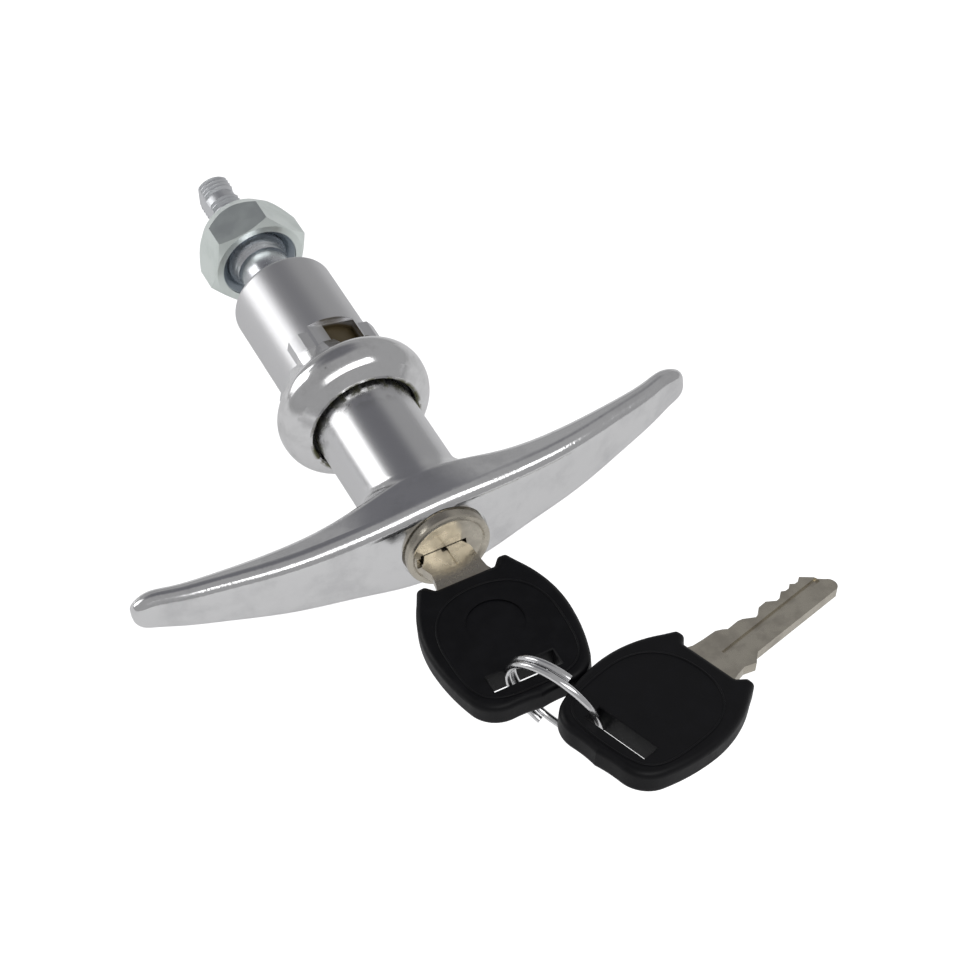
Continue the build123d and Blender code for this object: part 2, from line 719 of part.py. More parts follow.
with BuildPart() as key_head:
    with BuildSketch(Plane.XY.offset(-HEAD_T / 2)):
        add(head_outline())
    extrude(amount=HEAD_T)
    fillet(key_head.faces().filter_by(Plane.XY).edges(), HEAD_ROUND)
    with BuildSketch(Plane.XY.offset(-HEAD_T / 2)):
        with Locations((BADGE_X, 0)):
            Circle(BADGE_R)
    extrude(amount=BADGE_DEPTH, mode=Mode.SUBTRACT)
    with BuildSketch(Plane.XY.offset(-HEAD_T)):
        with Locations((SLOT_X, SLOT_SHIFT)):
            Rectangle(SLOT_WIDTH, SLOT_LENGTH)
    extrude(amount=2 * HEAD_T, mode=Mode.SUBTRACT)
    mouth = key_head.faces().filter_by(Plane.XY).edges().filter_by(
        lambda edge: abs(edge.center().X - SLOT_X) < SLOT_WIDTH / 2 + 0.1
        and abs(edge.center().Y - SLOT_SHIFT) < SLOT_LENGTH / 2 + 0.1
    )
    chamfer(mouth, SLOT_CHAMFER)
    with BuildSketch(Plane.XY.offset(-BLADE_T / 2)):
        with Locations((-4.0, 0)):
            Rectangle(8.0, 8.0)
    extrude(amount=BLADE_T, mode=Mode.SUBTRACT)

KEY_1 = Plane(origin=KEY_1_AT, x_dir=(0, 1, 0), z_dir=(0, 0, -1))
turn = radians(KEY_2_TURN)
pitch = radians(KEY_2_PITCH)
roll = radians(KEY_2_ROLL)
level_x = Vector(cos(turn) * cos(pitch), sin(turn) * cos(pitch), -sin(pitch))
level_z = Vector(cos(turn) * sin(pitch), sin(turn) * sin(pitch), cos(pitch))
KEY_2 = Plane(
    origin=KEY_2_AT,
    x_dir=level_x,
    z_dir=level_z * cos(roll) - level_z.cross(level_x) * sin(roll),
)
for number, place in ((1, KEY_1), (2, KEY_2)):
    with BuildPart() as blade_copy:
        with Locations(place):
            add(key_blade.part)
    save(blade_copy.part, "key_" + str(number) + "_blade")
    with BuildPart() as head_copy:
        with Locations(place):
            add(key_head.part)
    save(head_copy.part, "key_" + str(number) + "_head")

# Split ring of one and a half turns through both slots
RING_STEPS = 36
axis = Vector(*RING_AXIS).normalized()
sideways = axis.cross(Vector(*RING_TO_KEY_1)).normalized()
across = sideways.cross(axis)


def ring_point(angle):
    """Point on the ring's wire, the angle counted in degrees from the first key's slot."""
    a = radians(angle)
    along = RING_PITCH * angle / 360
    return Vector(*RING_CENTRE) + across * (RING_R * cos(a)) + sideways * (RING_R * sin(a)) + axis * along


RING_ANGLES = [RING_START + k * 360 * RING_TURNS / RING_STEPS for k in range(RING_STEPS + 1)]
with BuildPart() as key_ring:
    with BuildLine() as wire:
        Spline(*[ring_point(angle) for angle in RING_ANGLES])
    with BuildSketch(Plane(origin=wire.line @ 0, z_dir=wire.line % 0)):
        Circle(WIRE_R)
    sweep()
save(key_ring.part, "key_ring")
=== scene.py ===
from math import cos, radians, sin

import bpy
from bpy.props import FloatProperty, FloatVectorProperty, PointerProperty
from mathutils import Matrix, Vector


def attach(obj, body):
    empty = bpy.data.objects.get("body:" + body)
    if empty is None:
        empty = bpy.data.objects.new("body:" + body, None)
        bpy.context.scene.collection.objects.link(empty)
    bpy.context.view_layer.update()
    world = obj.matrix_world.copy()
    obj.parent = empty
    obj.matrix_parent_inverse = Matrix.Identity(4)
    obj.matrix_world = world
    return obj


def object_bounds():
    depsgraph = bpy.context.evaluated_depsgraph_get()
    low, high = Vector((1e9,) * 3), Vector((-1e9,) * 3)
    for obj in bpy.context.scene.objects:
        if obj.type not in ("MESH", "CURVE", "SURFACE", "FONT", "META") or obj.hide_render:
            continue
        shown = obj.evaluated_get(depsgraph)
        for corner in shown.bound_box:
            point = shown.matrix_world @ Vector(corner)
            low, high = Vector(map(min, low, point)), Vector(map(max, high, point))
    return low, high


bl_info = {
    "name": "Engine lid lock",
    "version": (1, 0, 0),
    "blender": (4, 5, 0),
    "location": "View3D > Sidebar > Lid lock",
    "description": "Finishes a T-handle lid lock with its keys and sets it in a plain studio",
    "category": "Object",
}

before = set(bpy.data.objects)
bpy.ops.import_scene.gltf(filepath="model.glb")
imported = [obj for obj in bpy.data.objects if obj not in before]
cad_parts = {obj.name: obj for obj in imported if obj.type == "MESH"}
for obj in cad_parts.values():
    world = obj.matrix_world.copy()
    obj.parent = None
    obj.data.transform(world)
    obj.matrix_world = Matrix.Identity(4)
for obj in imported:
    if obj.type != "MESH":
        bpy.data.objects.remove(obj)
CAD_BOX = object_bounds()

MM = 0.001

# Where the keys stand, as in the model
KEY_1_ROOT = (-1.0 * MM, -52.05 * MM, 0.0)
KEY_2_ROOT = (27.61 * MM, -86.86 * MM, -2.924 * MM)
KEY_2_ANGLES = (21.7, 9.23, 2.81)

# Where one finish runs into the next: two stations along the shaft or two radii, in millimetres
SHANK_START = (-31.0, -28.0)
SHANK_RADIUS = (10.6, 9.9)
DULL_SHANK_START = (-15.0, -8.0)
JOURNAL_START = (-4.6, -4.1)
BARREL_START = (4.0, 5.5)
FLANGE_FRONT = (1.0, -1.0)
MOUTH_RADIUS = (11.3, 10.6)
MOUTH_DEPTH = (-3.0, -4.0)
BORE_RADIUS = (9.6, 8.4)
BORE_START = (-0.5, 0.3)
STUD_START = (50.9, 51.3)
COUNTERSINK_RADIUS = (7.7, 7.3)
COUNTERSINK_DEPTH = (42.4, 41.8)

# Patterns: share of the noise where an effect starts and where it is full
CLOUD_LOW = 0.35
CLOUD_HIGH = 0.65
STAINED = (0.42, 0.70)
PITTED = (0.55, 0.66)
PIT_EDGE = (0.10, 0.20)
PIT_CLOUDS = 140.0
DULL_PATCHES = (0.45, 0.62)
DULL_SCALE = 500.0
GRIME_PATCHES = (0.40, 0.56)
GRIME_SCALE = 420.0
SCRATCH_TURN = (0.3, 0.1, 0.5)
SCRATCH_STRETCH = (0.05, 1.0, 1.0)
SCRATCH_SCALE = 2600.0

# Colours beside those that the panel offers
WORN_CHROME = (0.60, 0.60, 0.61)
CAST_STAIN = (0.50, 0.50, 0.50)
UNBUFFED_CHROME = (0.70, 0.70, 0.71)
DULL_CHROME = (0.38, 0.38, 0.38)
PIT_BLACK = (0.05, 0.05, 0.05)
STEEL_STAIN = (0.42, 0.42, 0.45)
STUD_STEEL = (0.72, 0.73, 0.75)
ZINC_STAIN = (0.70, 0.76, 0.73)
# Painted shade: darker bluish grey for the ring of the nut's countersink
COUNTERSINK_SHADE = (0.38, 0.43, 0.47)
RUBBER = (0.02, 0.02, 0.02)
RUBBER_DUST = (0.05, 0.05, 0.05)
NICKEL_STAIN = (0.38, 0.35, 0.30)
BRASS_STAIN = (0.42, 0.30, 0.12)
HEAD_GRAIN = (0.005, 0.005, 0.007)
WIRE = (0.80, 0.80, 0.81)
WIRE_STAIN = (0.6, 0.6, 0.6)

# Moulded plastic shines less than the shader's plain 0.5
HEAD_SPECULAR = 0.22

# How far the raised line's curve reaches from its corners, as shares of its half width (front and
# back corner) and of its front and back part (side corners)
FRONT_REACH = 0.85
BACK_REACH = 0.88
SIDE_TO_FRONT = 0.38
SIDE_TO_BACK = 0.86


class LockFinish(bpy.types.PropertyGroup):
    """Colours and gloss of the lock's surfaces."""

    chrome: FloatVectorProperty(
        name="Chrome",
        description="Colour of the plated handle and flange",
        subtype="COLOR",
        default=(0.80, 0.80, 0.805),
    )
    chrome_roughness: FloatProperty(
        name="Chrome roughness",
        description="Gloss of the buffed plating",
        default=0.13,
        min=0,
        max=1,
    )
    barrel_roughness: FloatProperty(
        name="Barrel roughness",
        description="Gloss of the unbuffed barrel",
        default=0.38,
        min=0,
        max=1,
    )
    grime: FloatVectorProperty(
        name="Grime",
        description="Colour of the old polish in the flange",
        subtype="COLOR",
        default=(0.17, 0.17, 0.09),
    )
    grease: FloatVectorProperty(
        name="Grease",
        description="Colour of the greased journal",
        subtype="COLOR",
        default=(0.10, 0.075, 0.035),
    )
    nickel: FloatVectorProperty(
        name="Nickel",
        description="Colour of the key blades and lock plug",
        subtype="COLOR",
        default=(0.58, 0.54, 0.46),
    )
    zinc: FloatVectorProperty(
        name="Zinc",
        description="Colour of the plated nut",
        subtype="COLOR",
        default=(0.84, 0.90, 0.87),
    )
    steel: FloatVectorProperty(
        name="Steel",
        description="Colour of the spindle",
        subtype="COLOR",
        default=(0.72, 0.73, 0.76),
    )
    brass: FloatVectorProperty(
        name="Brass",
        description="Colour of the bolt and sleeve",
        subtype="COLOR",
        default=(0.72, 0.55, 0.27),
    )
    head: FloatVectorProperty(
        name="Key head",
        description="Colour of the moulded heads",
        subtype="COLOR",
        default=(0.002, 0.002, 0.003),
    )


class KeyLines(bpy.types.PropertyGroup):
    """Sizes of the raised line on the key heads, from the root of the blade."""

    front: FloatProperty(
        name="Front", description="Where the line starts", default=-3.0 * MM, unit="LENGTH"
    )
    widest: FloatProperty(
        name="Widest", description="Where the line is widest", default=-14.5 * MM, unit="LENGTH"
    )
    back: FloatProperty(
        name="Back", description="Where the line ends", default=-27.7 * MM, unit="LENGTH"
    )
    half: FloatProperty(
        name="Half width", description="Half the line's width", default=10.8 * MM, unit="LENGTH"
    )
    thick: FloatProperty(
        name="Thickness", description="Height of the raised line", default=0.2 * MM, unit="LENGTH"
    )
    face: FloatProperty(
        name="Face", description="Half the head's thickness", default=2.4 * MM, unit="LENGTH"
    )


class Studio(bpy.types.PropertyGroup):
    """Camera and light of the studio."""

    azimuth: FloatProperty(
        name="Azimuth",
        description="Camera's place round the lock",
        subtype="ANGLE",
        default=radians(-21.833),
    )
    elevation: FloatProperty(
        name="Elevation",
        description="Camera's height over the lock",
        subtype="ANGLE",
        default=radians(47.544),
    )
    roll: FloatProperty(
        name="Roll", description="Camera's tilt", subtype="ANGLE", default=radians(-5.872)
    )
    distance: FloatProperty(
        name="Distance", description="From the camera to its target", unit="LENGTH", default=0.58535
    )
    target: FloatVectorProperty(
        name="Target",
        description="Point the camera looks at",
        subtype="XYZ",
        default=(0.01526, -0.0230, -0.00966),
    )
    lens: FloatProperty(name="Lens", description="Focal length in millimetres", default=120.3)
    world: FloatProperty(name="World", description="Brightness of the room", default=0.37, min=0)
    drop: FloatProperty(
        name="Floor drop",
        description="Room under the lock for the turned handle",
        unit="LENGTH",
        default=52 * MM,
    )
    floor: FloatProperty(
        name="Floor",
        description="Share of the floor's white that is its own",
        default=0.72,
        min=0,
    )
    floor_gloss: FloatProperty(
        name="Floor in metal",
        description="Share of the floor's white that metal shows",
        default=0.12,
        min=0,
    )


def new_material(name):
    """An empty node material and its node tree."""
    material = bpy.data.materials.new(name)
    material.use_nodes = True
    material.node_tree.nodes.clear()
    return material, material.node_tree


def node(tree, kind, **values):
    """A node with its inputs or properties set by name."""
    made = tree.nodes.new(kind)
    for key, value in values.items():
        if hasattr(made, key):
            setattr(made, key, value)
        else:
            made.inputs[key.replace("_", " ")].default_value = value
    return made


def calculate(tree, operation, first, second):
    """A math node; each operand is a socket or a number."""
    made = tree.nodes.new("ShaderNodeMath")
    made.operation = operation
    for place, operand in enumerate((first, second)):
        if isinstance(operand, (int, float)):
            made.inputs[place].default_value = operand
        else:
            tree.links.new(operand, made.inputs[place])
    return made.outputs[0]


def ramp(tree, value, low, high, to_low=0.0, to_high=1.0):
    """Smooth step of a value between two limits."""
    made = node(tree, "ShaderNodeMapRange", interpolation_type="SMOOTHSTEP")
    tree.links.new(value, made.inputs["Value"])
    limits = {"From Min": low, "From Max": high, "To Min": to_low, "To Max": to_high}
    for name, number in limits.items():
        made.inputs[name].default_value = number
    return made.outputs["Result"]


def blend_colour(tree, mask, first, second):
    """Mix of two colours by a mask; each colour is a socket or a tuple."""
    made = node(tree, "ShaderNodeMix", data_type="RGBA")
    tree.links.new(mask, made.inputs["Factor"])
    for name, colour in (("A", first), ("B", second)):
        socket = [item for item in made.inputs if item.name == name and item.type == "RGBA"][0]
        if isinstance(colour, tuple):
            socket.default_value = (*colour[:3], 1)
        else:
            tree.links.new(colour, socket)
    return [item for item in made.outputs if item.type == "RGBA"][0]


def blend_value(tree, mask, first, second):
    """Mix of two numbers by a mask; each is a socket or a number."""
    made = node(tree, "ShaderNodeMix", data_type="FLOAT")
    tree.links.new(mask, made.inputs["Factor"])
    for name, value in (("A", first), ("B", second)):
        socket = [item for item in made.inputs if item.name == name and item.type == "VALUE"][0]
        if isinstance(value, (int, float)):
            socket.default_value = value
        else:
            tree.links.new(value, socket)
    return [item for item in made.outputs if item.type == "VALUE"][0]


def group_tree(name, inputs, outputs):
    """An empty shader node group with its sockets."""
    group = bpy.data.node_groups.new(name, "ShaderNodeTree")
    for label, kind, value in inputs:
        socket = group.interface.new_socket(label, in_out="INPUT", socket_type=kind)
        socket.default_value = value
    for label, kind in outputs:
        group.interface.new_socket(label, in_out="OUTPUT", socket_type=kind)
    return group, group.nodes.new("NodeGroupInput"), group.nodes.new("NodeGroupOutput")


def speckle_group():
    """Node group: cloudy colour, changing gloss and a fine relief with rubbed scratches."""
    number = "NodeSocketFloat"
    group, source, result = group_tree(
        "surface_speckle",
        (
            ("Colour", "NodeSocketColor", (0.8, 0.8, 0.8, 1)),
            ("Stain", "NodeSocketColor", (0.3, 0.3, 0.3, 1)),
            ("Cloud scale", number, 120.0),
            ("Grain scale", number, 1500.0),
            ("Gloss low", number, 0.1),
            ("Gloss high", number, 0.25),
            ("Stain amount", number, 0.2),
            ("Scratches", number, 0.3),
        ),
        (("Colour", "NodeSocketColor"), ("Roughness", number), ("Height", number)),
    )
    link = group.links.new
    place = group.nodes.new("ShaderNodeTexCoord").outputs["Object"]
    cloud = node(group, "ShaderNodeTexNoise", Detail=5.0, Roughness=0.62)
    grain = node(group, "ShaderNodeTexNoise", Detail=2.0)
    stretch = node(group, "ShaderNodeMapping")
    stretch.inputs["Rotation"].default_value = SCRATCH_TURN
    stretch.inputs["Scale"].default_value = SCRATCH_STRETCH
    rubbed = node(group, "ShaderNodeTexNoise", Scale=SCRATCH_SCALE, Detail=1.0)
    link(place, cloud.inputs["Vector"])
    link(place, grain.inputs["Vector"])
    link(place, stretch.inputs["Vector"])
    link(stretch.outputs["Vector"], rubbed.inputs["Vector"])
    link(source.outputs["Cloud scale"], cloud.inputs["Scale"])
    link(source.outputs["Grain scale"], grain.inputs["Scale"])
    gloss = node(group, "ShaderNodeMapRange", interpolation_type="SMOOTHSTEP")
    gloss.inputs["From Min"].default_value = CLOUD_LOW
    gloss.inputs["From Max"].default_value = CLOUD_HIGH
    link(cloud.outputs["Fac"], gloss.inputs["Value"])
    link(source.outputs["Gloss low"], gloss.inputs["To Min"])
    link(source.outputs["Gloss high"], gloss.inputs["To Max"])
    link(gloss.outputs["Result"], result.inputs["Roughness"])
    spot = ramp(group, cloud.outputs["Fac"], *STAINED)
    amount = calculate(group, "MULTIPLY", spot, source.outputs["Stain amount"])
    colour = blend_colour(group, amount, source.outputs["Colour"], source.outputs["Stain"])
    link(colour, result.inputs["Colour"])
    lines = calculate(group, "MULTIPLY", rubbed.outputs["Fac"], source.outputs["Scratches"])
    link(calculate(group, "ADD", grain.outputs["Fac"], lines), result.inputs["Height"])
    return group


def shaft_group():
    """Node group: place along the shaft and distance from its axis, in millimetres."""
    number = "NodeSocketFloat"
    group, _, result = group_tree("shaft_place", (), (("Along", number), ("Radius", number)))
    place = group.nodes.new("ShaderNodeTexCoord").outputs["Object"]
    parts = group.nodes.new("ShaderNodeSeparateXYZ")
    link = group.links.new
    link(place, parts.inputs[0])
    link(calculate(group, "MULTIPLY", parts.outputs["Y"], 1 / MM), result.inputs["Along"])
    flat = group.nodes.new("ShaderNodeCombineXYZ")
    link(parts.outputs["X"], flat.inputs["X"])
    link(parts.outputs["Z"], flat.inputs["Z"])
    length = node(group, "ShaderNodeVectorMath", operation="LENGTH")
    link(flat.outputs[0], length.inputs[0])
    link(calculate(group, "MULTIPLY", length.outputs["Value"], 1 / MM), result.inputs["Radius"])
    return group


def pit_group():
    """Node group: mask of small scattered pits."""
    number = "NodeSocketFloat"
    group, source, result = group_tree(
        "small_pits", (("Scale", number, 350.0),), (("Mask", number),)
    )
    place = group.nodes.new("ShaderNodeTexCoord").outputs["Object"]
    cells = node(group, "ShaderNodeTexVoronoi", feature="F1")
    clouds = node(group, "ShaderNodeTexNoise", Scale=PIT_CLOUDS, Detail=1.0)
    group.links.new(place, cells.inputs["Vector"])
    group.links.new(place, clouds.inputs["Vector"])
    group.links.new(source.outputs["Scale"], cells.inputs["Scale"])
    dots = ramp(group, cells.outputs["Distance"], *PIT_EDGE, 1.0, 0.0)
    where = ramp(group, clouds.outputs["Fac"], *PITTED)
    group.links.new(calculate(group, "MULTIPLY", dots, where), result.inputs["Mask"])
    return group


GROUP_MAKERS = {
    "surface_speckle": speckle_group,
    "shaft_place": shaft_group,
    "small_pits": pit_group,
}


def place_group(tree, name):
    """The named group placed in a material, built at its first use."""
    effect = tree.nodes.new("ShaderNodeGroup")
    effect.node_tree = bpy.data.node_groups.get(name) or GROUP_MAKERS[name]()
    return effect


def speckled(name, colour, stain, metallic, gloss, scales, stain_amount, bump, scratches=0.3):
    """Material with the speckle group on a Principled shader; scales: cloud, then grain."""
    material, tree = new_material(name)
    effect = place_group(tree, "surface_speckle")
    effect.inputs["Colour"].default_value = (*colour, 1)
    effect.inputs["Stain"].default_value = (*stain, 1)
    effect.inputs["Cloud scale"].default_value = scales[0]
    effect.inputs["Grain scale"].default_value = scales[1]
    effect.inputs["Gloss low"].default_value = gloss[0]
    effect.inputs["Gloss high"].default_value = gloss[1]
    effect.inputs["Stain amount"].default_value = stain_amount
    effect.inputs["Scratches"].default_value = scratches
    shader = node(tree, "ShaderNodeBsdfPrincipled", Metallic=metallic)
    relief = node(tree, "ShaderNodeBump", Strength=bump, Distance=0.05 * MM)
    output = tree.nodes.new("ShaderNodeOutputMaterial")
    link = tree.links.new
    link(effect.outputs["Colour"], shader.inputs["Base Color"])
    link(effect.outputs["Roughness"], shader.inputs["Roughness"])
    link(effect.outputs["Height"], relief.inputs["Height"])
    link(relief.outputs["Normal"], shader.inputs["Normal"])
    link(shader.outputs["BSDF"], output.inputs["Surface"])
    return material


def principled(material):
    """The material's one Principled shader."""
    return [item for item in material.node_tree.nodes if item.type == "BSDF_PRINCIPLED"][0]


def coat_zone(material, mask, colour, roughness, metallic=None):
    """Dirt, another finish or painted shade over what the shader already shows, where the mask is.
    """
    tree = material.node_tree
    shader = principled(material)
    base = shader.inputs["Base Color"].links[0].from_socket
    rough = shader.inputs["Roughness"].links[0].from_socket
    tree.links.new(blend_colour(tree, mask, base, colour), shader.inputs["Base Color"])
    tree.links.new(blend_value(tree, mask, rough, roughness), shader.inputs["Roughness"])
    if metallic is not None:
        socket = shader.inputs["Metallic"]
        now = socket.links[0].from_socket if socket.links else socket.default_value
        tree.links.new(blend_value(tree, mask, now, metallic), socket)


def dress(names, material):
    """The CAD nodes of these names get one material."""
    for name in names:
        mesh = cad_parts[name].data
        mesh.materials.clear()
        mesh.materials.append(material)


def between(tree, value, limits):
    """Mask that rises from the first limit to the second."""
    return ramp(tree, value, *limits)


def both(tree, first, second):
    """Mask where two masks meet."""
    return calculate(tree, "MULTIPLY", first, second)


def patches(tree, scale, limits):
    """Mask of small cloudy patches."""
    cloud = node(tree, "ShaderNodeTexNoise", Scale=scale, Detail=4.0)
    coordinates = tree.nodes.new("ShaderNodeTexCoord").outputs["Object"]
    tree.links.new(coordinates, cloud.inputs["Vector"])
    return between(tree, cloud.outputs["Fac"], limits)


def handle_chrome(finish):
    """Buffed grip, duller shank, greased journal."""
    rough = finish.chrome_roughness
    material = speckled(
        "handle_chrome",
        tuple(finish.chrome),
        WORN_CHROME,
        metallic=1.0,
        gloss=(rough, rough + 0.09),
        scales=(110.0, 900.0),
        stain_amount=0.6,
        bump=0.10,
    )
    tree = material.node_tree
    place = place_group(tree, "shaft_place")
    along = place.outputs["Along"]
    shank = both(
        tree,
        between(tree, along, SHANK_START),
        between(tree, place.outputs["Radius"], SHANK_RADIUS),
    )
    coat_zone(material, shank, UNBUFFED_CHROME, roughness=0.25)
    dull = both(
        tree, between(tree, along, DULL_SHANK_START), patches(tree, DULL_SCALE, DULL_PATCHES)
    )
    coat_zone(material, dull, DULL_CHROME, roughness=0.3)
    journal = between(tree, along, JOURNAL_START)
    coat_zone(material, journal, tuple(finish.grease), roughness=0.42, metallic=0.25)
    return material


def housing_chrome(finish):
    """Buffed flange with pits and old polish, unbuffed barrel, greased bore."""
    rough = finish.chrome_roughness
    material = speckled(
        "housing_chrome",
        tuple(finish.chrome),
        CAST_STAIN,
        metallic=1.0,
        gloss=(rough - 0.03, rough + 0.08),
        scales=(150.0, 1200.0),
        stain_amount=0.5,
        bump=0.15,
    )
    tree = material.node_tree
    place = place_group(tree, "shaft_place")
    along = place.outputs["Along"]
    radius = place.outputs["Radius"]
    barrel = between(tree, along, BARREL_START)
    coat_zone(material, barrel, UNBUFFED_CHROME, roughness=finish.barrel_roughness)
    scattered = place_group(tree, "small_pits").outputs["Mask"]
    pits = both(tree, between(tree, along, FLANGE_FRONT), scattered)
    coat_zone(material, pits, PIT_BLACK, roughness=0.5)
    mouth = both(tree, between(tree, radius, MOUTH_RADIUS), between(tree, along, MOUTH_DEPTH))
    dirty = both(tree, mouth, patches(tree, GRIME_SCALE, GRIME_PATCHES))
    coat_zone(material, dirty, tuple(finish.grime), roughness=0.75, metallic=0.1)
    bore = both(tree, between(tree, radius, BORE_RADIUS), between(tree, along, BORE_START))
    coat_zone(material, bore, tuple(finish.grease), roughness=0.5, metallic=0.3)
    return material


class LIDLOCK_OT_castings(bpy.types.Operator):
    """Plated handle and housing"""

    bl_idname = "lidlock.castings"
    bl_label = "Handle and housing"

    def execute(self, context):
        finish = context.scene.lidlock_finish
        dress(["handle"], handle_chrome(finish))
        dress(["housing"], housing_chrome(finish))
        return {"FINISHED"}


class LIDLOCK_OT_spindle(bpy.types.Operator):
    """Spindle, nut, washers and pins"""

    bl_idname = "lidlock.spindle"
    bl_label = "Spindle and nut"

    def execute(self, context):
        finish = context.scene.lidlock_finish
        steel = speckled(
            "turned_steel",
            tuple(finish.steel),
            STEEL_STAIN,
            metallic=1.0,
            gloss=(0.18, 0.32),
            scales=(200.0, 1500.0),
            stain_amount=0.5,
            bump=0.15,
        )
        tree = steel.node_tree
        place = place_group(tree, "shaft_place")
        stud = between(tree, place.outputs["Along"], STUD_START)
        coat_zone(steel, stud, STUD_STEEL, roughness=0.42)
        dress(["spindle", "cross_pin", "stop_pin", "circlip"], steel)
        dress(["thrust_washer", "wave_washer", "plug_clip", "plug_tail", "wafer_springs"], steel)

        zinc = speckled(
            "zinc_plate",
            tuple(finish.zinc),
            ZINC_STAIN,
            metallic=1.0,
            gloss=(0.28, 0.40),
            scales=(160.0, 1400.0),
            stain_amount=0.5,
            bump=0.2,
        )
        tree = zinc.node_tree
        place = place_group(tree, "shaft_place")
        # Painted shade: the countersink ring is painted darker bluish grey and made rougher
        countersink = both(
            tree,
            between(tree, place.outputs["Radius"], COUNTERSINK_RADIUS),
            between(tree, place.outputs["Along"], COUNTERSINK_DEPTH),
        )
        coat_zone(zinc, countersink, COUNTERSINK_SHADE, roughness=0.4)
        dress(["spindle_nut"], zinc)

        rubber = speckled(
            "seal_rubber",
            RUBBER,
            RUBBER_DUST,
            metallic=0.0,
            gloss=(0.5, 0.7),
            scales=(200.0, 1500.0),
            stain_amount=0.5,
            bump=0.3,
        )
        dress(["grease_seal"], rubber)
        return {"FINISHED"}


class LIDLOCK_OT_lock(bpy.types.Operator):
    """Lock plug, sleeve, wafers and bolt"""

    bl_idname = "lidlock.lock"
    bl_label = "Lock cylinder"

    def execute(self, context):
        finish = context.scene.lidlock_finish
        nickel = speckled(
            "nickel_plate",
            tuple(finish.nickel),
            NICKEL_STAIN,
            metallic=1.0,
            gloss=(0.22, 0.34),
            scales=(260.0, 1600.0),
            stain_amount=0.6,
            bump=0.2,
            scratches=0.8,
        )
        dress(["plug", "key_1_blade", "key_2_blade"], nickel)
        brass = speckled(
            "brass",
            tuple(finish.brass),
            BRASS_STAIN,
            metallic=1.0,
            gloss=(0.25, 0.4),
            scales=(200.0, 1500.0),
            stain_amount=0.6,
            bump=0.15,
        )
        dress(["plug_sleeve", "wafers", "lock_bolt", "housing_bush"], brass)
        return {"FINISHED"}


def head_line(name, sizes, root, ahead, across, side):
    """Raised line round one face of a key head, as a closed half-sunk bead."""
    bpy.ops.object.select_all(action="DESELECT")
    bpy.ops.curve.primitive_bezier_circle_add(radius=sizes.half)
    bead = bpy.context.object
    bead.name = name
    curve = bead.data
    curve.dimensions = "3D"
    curve.resolution_u = 20
    curve.bevel_depth = sizes.thick
    curve.bevel_resolution = 2
    to_front = SIDE_TO_FRONT * (sizes.front - sizes.widest)
    to_back = SIDE_TO_BACK * (sizes.widest - sizes.back)
    front_reach = FRONT_REACH * sizes.half
    back_reach = BACK_REACH * sizes.half
    # Each row: corner, direction of travel there, reach back and reach ahead
    corners = (
        ((sizes.front, 0), (0, 1), front_reach, front_reach),
        ((sizes.widest, sizes.half), (-1, 0), to_front, to_back),
        ((sizes.back, 0), (0, -1), back_reach, back_reach),
        ((sizes.widest, -sizes.half), (1, 0), to_back, to_front),
    )
    up = ahead.cross(across) * side * sizes.face
    for point, (corner, travel, reach_back, reach_ahead) in zip(
        curve.splines[0].bezier_points, corners
    ):
        point.handle_left_type = "FREE"
        point.handle_right_type = "FREE"
        centre = Vector(corner)
        run = Vector(travel)
        for end, local in (
            ("co", centre),
            ("handle_left", centre - run * reach_back),
            ("handle_right", centre + run * reach_ahead),
        ):
            setattr(point, end, ahead * local.x + across * local.y + up + root)
    bpy.ops.object.convert(target="MESH")
    bead = bpy.context.object
    bpy.ops.object.mode_set(mode="EDIT")
    bpy.ops.mesh.select_all(action="SELECT")
    bpy.ops.mesh.remove_doubles(threshold=0.01 * MM)
    bpy.ops.mesh.normals_make_consistent(inside=False)
    bpy.ops.object.mode_set(mode="OBJECT")
    bpy.ops.object.shade_smooth()
    return bead


def key_frames():
    """Root, blade direction and cut direction of each key, as the solids stand."""
    turn, pitch, roll = (radians(angle) for angle in KEY_2_ANGLES)
    ahead = Vector((cos(turn) * cos(pitch), sin(turn) * cos(pitch), -sin(pitch)))
    level = Vector((cos(turn) * sin(pitch), sin(turn) * sin(pitch), cos(pitch)))
    normal = level * cos(roll) - level.cross(ahead) * sin(roll)
    return (
        ("key_1", Vector(KEY_1_ROOT), Vector((0, 1, 0)), Vector((1, 0, 0))),
        ("key_2", Vector(KEY_2_ROOT), ahead, normal.cross(ahead)),
    )


class LIDLOCK_OT_keys(bpy.types.Operator):
    """Moulded key heads with their raised lines, and the split ring"""

    bl_idname = "lidlock.keys"
    bl_label = "Key heads and ring"

    def execute(self, context):
        finish = context.scene.lidlock_finish
        head = speckled(
            "moulded_black",
            tuple(finish.head),
            HEAD_GRAIN,
            metallic=0.0,
            gloss=(0.40, 0.50),
            scales=(300.0, 2500.0),
            stain_amount=0.5,
            bump=0.3,
            scratches=0.0,
        )
        principled(head).inputs["Specular IOR Level"].default_value = HEAD_SPECULAR
        dress(["key_1_head", "key_2_head"], head)
        sizes = context.scene.lidlock_lines
        for body, root, ahead, across in key_frames():
            for side, label in ((1, "front"), (-1, "back")):
                bead = head_line(body + "_line_" + label, sizes, root, ahead, across, side)
                bead.data.materials.append(head)
                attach(bead, body)
        wire = speckled(
            "ring_wire",
            WIRE,
            WIRE_STAIN,
            metallic=1.0,
            gloss=(0.10, 0.2),
            scales=(300.0, 1500.0),
            stain_amount=0.3,
            bump=0.05,
        )
        dress(["key_ring"], wire)
        return {"FINISHED"}


def aim(place, target):
    """Turn that points an object's -Z from its place to the target."""
    return (Vector(target) - Vector(place)).to_track_quat("-Z", "Y").to_euler()


